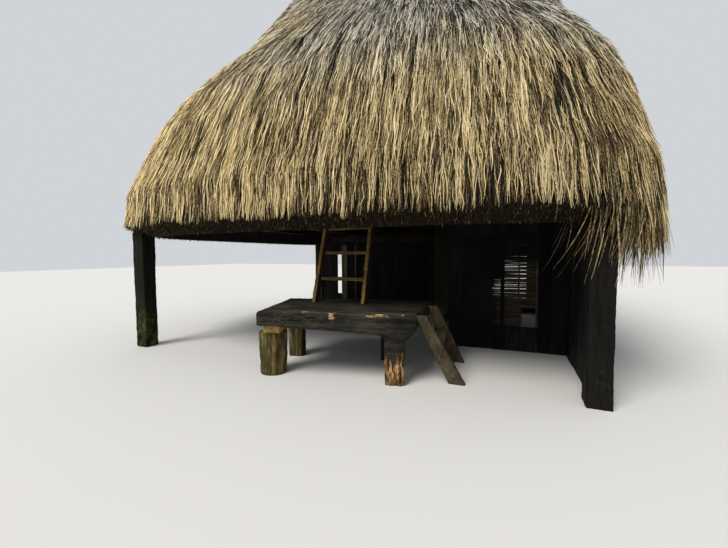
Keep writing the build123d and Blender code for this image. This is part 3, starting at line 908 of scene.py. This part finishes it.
def looseStrawPiece():
    random = np.random.default_rng(23)
    rings = looseStraws["rings"]
    along = np.linspace(0, 1, rings)[None, :]
    lines = []
    for count, middle, spread, deepest, lengths, drift, tone in looseStraws["bunches"]:
        columns = random.normal(middle, spread, count) / 360 * roof["columns"]
        level = lipHeight + random.uniform(*looseStraws["level"], count)
        start = sample(roofPoints, level, columns)
        outward = unit(sample(normals, level, columns) * np.array([1, 1, 0]))
        sideways = np.stack([-outward[:, 1], outward[:, 0], np.zeros(count)], axis=1)
        inset = random.uniform(-looseStraws["proud"], deepest, count)
        inset = inset - bulgeAt(level, columns) * 0.8
        start = start - outward * inset[:, None]
        start[:, 2] -= np.maximum(inset, 0) * 0.4
        shortest, longest = lengths
        drop = level - lipHeight + shortest + (longest - shortest) * random.uniform(0, 1, count) ** 1.7
        drop = drop[:, None] * along
        splay = random.normal(drift, looseStraws["splay"], count)[:, None] * drop * (0.4 + along * 0.6)
        push = random.normal(*looseStraws["push"], count)[:, None] * drop
        centres = start[:, None, :] + sideways[:, None, :] * splay[..., None]
        centres += outward[:, None, :] * push[..., None]
        centres[..., 2] -= drop
        tones = random.normal(tone, looseStraws["toneSpread"], count)
        # painted shade: straws that start further in are darker
        tones = np.clip(tones - inset * 0.8, 0, 1)
        lines.append((centres, outward, sideways, tones))
    centres, outward, sideways, tones = (np.concatenate(group) for group in zip(*lines))
    count = len(tones)
    roll = random.uniform(-looseStraws["roll"], looseStraws["roll"], count)[:, None]
    roll = roll + random.normal(0, looseStraws["twist"], count)[:, None] * along
    across = rolled(sideways[:, None, :], outward[:, None, :], roll)
    widths = random.uniform(*looseStraws["width"], count)[:, None] / 2
    taper = np.interp(along, [0, 0.6, 1], [0.9, 1.0, 0.15])
    halfWidths = (widths * taper)[..., None]
    wear = random.uniform(0, 1, count)
    ribbonPiece("looseStraws", centres, across, halfWidths, tones, wear, replaced=("loose_thatch",))


looseStrawPiece()
print("loose straws hung")


# timbers weathered from their own solids

def weathered(node, material, voxel, rough):
    piece = bpy.data.objects.new(camelName(node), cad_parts[node].data.copy())
    bpy.context.collection.objects.link(piece)
    pick(piece)
    bpy.ops.object.mode_set(mode="EDIT")
    bpy.ops.mesh.select_all(action="SELECT")
    bpy.ops.mesh.remove_doubles(threshold=0.00002)
    bpy.ops.mesh.normals_make_consistent(inside=False)
    bpy.ops.object.mode_set(mode="OBJECT")
    modifier = piece.modifiers.new("regrid", "REMESH")
    modifier.mode = "VOXEL"
    modifier.voxel_size = voxel
    applyAll(piece)
    for size, strength in rough:
        roughen(piece, size, strength)
    facing = np.clip(-perVertex(piece.data, "normal")[:, 1], 0, 1)   # how far each place faces the front
    storeValues(piece, "front", facing)
    finishPiece(piece, material, (node,), smoothAngle=35)


postRough = ((0.5, 0.030), (0.07, 0.010), (0.02, 0.004))   # size and strength of each roughening
beamRough = ((0.5, 0.024), (0.08, 0.010))
benchRough = ((0.45, 0.014), (0.09, 0.008), (0.03, 0.004))
railRough = ((0.4, 0.010), (0.05, 0.003))
stairRough = ((0.3, 0.012), (0.05, 0.004))
timbers = (   # finish, slot, grid size, roughenings and nodes
    ("post", "post_wood", 0.016, postRough, ("post_front_left",)),
    ("postRight", "post_wood", 0.016, postRough, ("post_front_right",)),
    ("post", "post_wood", 0.018, postRough, ("post_back_left", "post_back_right")),
    ("post", "post_wood", 0.018, ((0.5, 0.024), (0.07, 0.010)), ("post_inner",)),
    ("beamX", "frame_timber", 0.030, beamRough, ("girder_front", "girder_back")),
    ("beamY", "frame_timber", 0.030, beamRough, ("side_beam_left", "side_beam_right")),
    ("beamY", "frame_timber", 0.045, ((0.5, 0.020),), ("loft_beams",)),
    ("bench", "bench_wood", 0.020, benchRough, ("bench_platform",)),
    ("stump", "stump_wood", 0.013, ((0.3, 0.026), (0.05, 0.012)), ("bench_stump",)),
    ("stump", "stump_wood", 0.016, ((0.3, 0.020), (0.05, 0.008)), ("bench_back_block",)),
    ("shim", "shim_wood", 0.010, ((0.1, 0.008),), ("stump_shim",)),
    ("ladder", "ladder_wood", 0.012, railRough, ("ladder_rail_left", "ladder_rail_right")),
    ("rung", "ladder_wood", 0.010, ((0.2, 0.006), (0.04, 0.002)), ("ladder_rungs",)),
    ("stair", "stair_wood", 0.010, stairRough, ("stair_stringer_front", "stair_stringer_back")),
    ("stair", "stair_wood", 0.011, ((0.3, 0.010), (0.05, 0.004)), ("stair_tread",)),
    ("stud", "wall_boards", 0.018, ((0.4, 0.008),), ("back_wall_studs",)),
)
for material, slot, voxel, rough, nodes in timbers:
    for node in nodes:
        weathered(node, finishes[material], voxel, rough)
print("timbers weathered:", sum(len(row[-1]) for row in timbers))


# boards of the walls and the deck

wallSpec = {
    "gap": 0.005, "width": 0.185, "vary": 0.18, "lining": 0.004, "uneven": 0.004, "bevel": 0.003,
    "margin": 0.004, "cuts": 5, "warp": 0.009, "warpSize": 0.35, "sway": 0.002, "swayAxis": "Y",
    "seed": 3,
}
deckSpec = dict(
    wallSpec, gap=0.006, width=0.21, cuts=9, sway=0.0, swayAxis="Z", seed=6, warp=0.006,
    hatch=((-0.56, -2.15), (0.56, -1.05)),   # its front left and back right corners
)
slit = {"left": -2.312, "right": -2.182, "sill": 0.280, "head": 1.380}   # where one board is missing
window = {"left": 1.541, "right": 2.520, "sill": 0.340, "head": 1.632, "backHead": 1.300}


def splitRun(start, end, width, random):
    count = max(1, round((end - start) / width))
    edges = np.linspace(start, end, count + 1)
    vary = wallSpec["vary"]
    edges[1:-1] += random.uniform(-vary, vary, count - 1) * (end - start) / count
    return edges


def boardPiece(name, boards, along, node, spec):
    random = np.random.default_rng(spec["seed"])
    deselectAll()
    piece = None
    for low, high in boards:
        centre = (Vector(low) + Vector(high)) / 2
        piece = addBox(piece, name, centre, Vector(high) - Vector(low))
        turn = random.normal(0, spec["sway"])
        bpy.ops.transform.rotate(value=turn, orient_axis=spec["swayAxis"], center_override=centre)
    piece.data.name = name
    bpy.ops.mesh.select_all(action="SELECT")
    bpy.ops.mesh.bevel(offset=spec["bevel"], affect="EDGES")
    axis = "XYZ".index(along)
    reach = np.array(boards)[:, :, axis]
    cutAcross(axis, reach.min(), reach.max(), spec["cuts"])
    bpy.ops.object.mode_set(mode="OBJECT")
    spots = perVertex(piece.data)
    values = np.zeros(len(spots))
    for tone, (low, high) in zip(random.uniform(0, 1, len(boards)), np.array(boards)):
        half = (high - low) / 2 + wallSpec["gap"] * 0.5 + wallSpec["margin"]
        values[(np.abs(spots - (low + high) / 2) <= half).all(axis=1)] = tone
    storeValues(piece, "tone", values)
    roughen(piece, spec["warpSize"], spec["warp"])
    finishPiece(piece, finishes["board" + along], (node,), smoothAngle=30)


def uprightBoards(start, end, near, far, spans, random):
    boards = []
    edges = splitRun(start, end, wallSpec["width"], random)
    left = edges[:-1] + wallSpec["gap"] / 2
    right = edges[1:] - wallSpec["gap"] / 2
    for low, high in zip(left, right):
        shift = random.uniform(-wallSpec["uneven"], wallSpec["uneven"])
        for bottom, top in spans:
            boards.append(((low, near + shift, bottom), (high, far + shift, top)))
    middle = (near + far) / 2
    for bottom, top in spans:   # a thin lining keeps daylight out of the joints
        lining = (middle - wallSpec["lining"], middle + wallSpec["lining"])
        boards.append(((start, lining[0], bottom), (end, lining[1], top)))
    return boards


def crossWall(name, node, draws, seed, windowHead, missing=None):
    random = np.random.default_rng(draws)
    (start, near, _), (end, far, top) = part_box(node)
    boards = []
    if missing:
        left, right = missing["left"], missing["right"]
        boards += uprightBoards(start, left, near, far, ((0, top),), random)
        for bottom, above in ((0, missing["sill"]), (missing["head"], top)):
            boards.append(((left, near, bottom), (right, far, above)))
        start = right
    besides = ((0, window["sill"]), (windowHead, top))
    boards += uprightBoards(start, window["left"], near, far, ((0, top),), random)
    boards += uprightBoards(window["left"], window["right"], near, far, besides, random)
    boards += uprightBoards(window["right"], end, near, far, ((0, top),), random)
    boardPiece(name, boards, "Z", node, dict(wallSpec, seed=seed))


def sideWall():
    (left, near, _), (right, far, top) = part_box("side_wall_right")
    boards = uprightBoards(near, far, left, right, ((0, top),), np.random.default_rng(12))
    # this wall runs from front to back, so x and y change places
    boards = [((x0, y0, z0), (x1, y1, z1)) for (y0, x0, z0), (y1, x1, z1) in boards]
    spec = dict(wallSpec, swayAxis="X", seed=4)
    boardPiece("sideWallBoards", boards, "Z", "side_wall_right", spec)


def deck():
    random = np.random.default_rng(14)
    (left, near, bottom), (right, far, top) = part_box("loft_deck")
    (hatchLeft, hatchFront), (hatchRight, hatchBack) = deckSpec["hatch"]
    whole = ((left, right),)
    boards = []
    for start, end, spans in (
        (near, hatchFront, whole),
        (hatchFront, hatchBack, ((left, hatchLeft), (hatchRight, right))),
        (hatchBack, far, whole),
    ):
        edges = splitRun(start, end, deckSpec["width"], random)
        for front, back in zip(edges[:-1] + deckSpec["gap"] / 2, edges[1:] - deckSpec["gap"] / 2):
            boards += [((x0, front, bottom), (x1, back, top)) for x0, x1 in spans]
    boardPiece("deckBoards", boards, "X", "loft_deck", deckSpec)


crossWall("backWallBoards", "back_wall", 11, 3, window["backHead"], slit)
sideWall()
crossWall("roomWallBoards", "room_wall", 13, 5, window["head"])
deck()
print("boards fixed")


# split bamboo behind the room window, uneven and partly broken

slats = {
    "thickness": (0.018, 0.034), "gaps": (0.0, 0.001, 0.003), "depth": 0.009,
    "lowest": -0.022, "highest": -0.02,   # from the sill and from the head
    "sway": 0.006, "ragged": 0.03, "cuts": 12, "bevel": 0.002, "rough": (0.10, 0.0035),
    "brokenTop": 0.24, "brokenWidth": 0.20,   # the lowest strips are broken off at the right
    "doubledTo": 1.95, "doubledTop": 1.0,   # more strips lie behind the lower left part
    "doubledShift": (-0.02, 0.03),
    "uprights": (("left", 0.21), ("right", -0.24), ("right", -0.012)), "uprightRadius": 0.012,
    "uprightSpare": 0.1,   # how much longer than the opening
    "back": 0.006, "doubledBack": 0.018, "uprightBack": 0.020,   # how far back each kind lies
}


def bambooFinish():
    maker = Maker("smokedBamboo", roughness=0.6, specular=0.1)
    x, _, z = maker.axes
    fibres = maker.noise(55, (0.05, 1, 1), detail=4)
    spaced = x * 3.1 + maker.noise(1.0, (0.3, 1, 26)) * 5
    rings = maker.math("FRACT", spaced)
    node = rings.between(0.0, 0.035) * (1 - rings.between(0.05, 0.09))
    colour = maker.mix(fibres.between(0.3, 0.8), (0.030, 0.024, 0.014), (0.20, 0.155, 0.09))
    colour = maker.mix(node, colour, (0.015, 0.011, 0.007))
    low = 1 - z.between(1.18, 1.30)   # the shutter shades the strips above
    clean = (x - slats["doubledTo"]).between(0.0, 0.12) * low   # light comes where the strips are single
    edge = x.between(2.488, 2.500) * low   # and where they end at the right
    # painted shade and light: all strips dimmed far down, lifted where daylight comes through and at the
    # right end
    colour = maker.dim(colour, clean * 0.36 + edge * 0.5 + 0.08)
    return maker.finish(colour, fibres + node, bump=0.3, distance=0.002)


def windowSlats():
    random = np.random.default_rng(31)
    low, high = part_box("window_slats")
    sill, head, ragged = window["sill"], window["head"], slats["ragged"]
    deselectAll()
    piece = None
    z = sill + slats["lowest"]
    while z < head + slats["highest"]:
        thick = random.uniform(*slats["thickness"])
        left = low[0] + random.uniform(0, ragged)
        right = high[0] - random.uniform(0, ragged)
        if z < sill + slats["brokenTop"]:
            right = window["right"] - slats["brokenWidth"] + random.uniform(-ragged, ragged)
        centre = Vector(((left + right) / 2, low[1] + slats["back"], z + thick / 2))
        piece = addBox(piece, "bambooSlats", centre, (right - left, slats["depth"], thick))
        turn = random.normal(0, slats["sway"])
        bpy.ops.transform.rotate(value=turn, orient_axis="Y", center_override=centre)
        if z < slats["doubledTop"]:
            across = (low[0] + slats["doubledTo"]) / 2 + random.uniform(*slats["doubledShift"])
            size = (slats["doubledTo"] - low[0], slats["depth"], thick)
            centre = Vector((across, low[1] + slats["doubledBack"], z + thick))
            addBox(piece, "bambooSlats", centre, size)
        z += thick + random.choice(slats["gaps"])
    for side, aside in slats["uprights"]:
        bpy.ops.mesh.primitive_cylinder_add(
            vertices=10, radius=slats["uprightRadius"], depth=head - sill + slats["uprightSpare"],
            location=(window[side] + aside, low[1] + slats["uprightBack"], (sill + head) / 2),
        )
    cutAcross(0, low[0], high[0], slats["cuts"])
    bpy.ops.object.mode_set(mode="OBJECT")
    bevel = piece.modifiers.new("round", "BEVEL")
    bevel.width = slats["bevel"]
    bevel.limit_method = "ANGLE"
    applyAll(piece)
    roughen(piece, *slats["rough"])
    finishPiece(piece, bambooFinish(), ("window_slats",))


windowSlats()
print("bamboo laid")


# nodes that keep their own form

keptFinishes = {
    "boardZ": ("window_mullion", "window_shutter"),
    "beamX": ("ridge_beam",),
    "pole": ("rafters_front", "rafters_back", "rafters_ends"),
    "underThatch": thatchNodes,
}
for material, nodes in keptFinishes.items():
    for node in nodes:
        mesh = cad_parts[node].data
        mesh.materials.clear()
        mesh.materials.append(finishes[material])
print("kept nodes finished")


# floor, light and camera

bpy.ops.mesh.primitive_plane_add(size=80, location=(0, 0, -0.001))
floor = bpy.context.object
floor.name = "floor"
floor.data.materials.append(Maker("paleFloor", roughness=0.9).finish((0.62, 0.61, 0.59, 1.0)))

light = {
    "skyColour": (0.93, 0.96, 1.0, 1), "skyStrength": 0.68,
    "sunColour": (1.0, 0.97, 0.92), "sunStrength": 3.1, "sunAngle": 30, "sunTilt": 43, "sunTurn": -20,
}
world = bpy.data.worlds.new("paleSky")
scene.world = world
world.use_nodes = True
background = world.node_tree.nodes["Background"]
background.inputs[0].default_value = light["skyColour"]
background.inputs[1].default_value = light["skyStrength"]
sun = bpy.data.lights.new("softSun", "SUN")
sun.energy = light["sunStrength"]
sun.angle = math.radians(light["sunAngle"])
sun.color = light["sunColour"]
lamp = bpy.data.objects.new("softSun", sun)
lamp.rotation_euler = (math.radians(light["sunTilt"]), 0, math.radians(light["sunTurn"]))
scene.collection.objects.link(lamp)

view = {"place": (2.152, -6.283, 1.35), "turn": 0.3909, "pitch": 0.054, "roll": -0.0053, "lens": 17.43}


def aimCamera():
    turn, pitch, roll = view["turn"], view["pitch"], view["roll"]
    ahead = math.cos(pitch)
    forward = Vector((-math.sin(turn) * ahead, math.cos(turn) * ahead, -math.sin(pitch)))
    right = Vector((math.cos(turn), math.sin(turn), 0))
    down = forward.cross(right)
    level = right * math.cos(roll) - down * math.sin(roll)
    drop = right * math.sin(roll) + down * math.cos(roll)
    data = bpy.data.cameras.new("photoCamera")
    data.lens = view["lens"]
    data.sensor_width = 36
    data.clip_start = 0.05
    data.clip_end = 200
    camera = bpy.data.objects.new("photoCamera", data)
    axes = Matrix((level, -drop, -forward)).transposed().to_4x4()
    camera.matrix_world = Matrix.Translation(view["place"]) @ axes
    scene.collection.objects.link(camera)
    scene.camera = camera


aimCamera()
scene.view_settings.view_transform = "Standard"
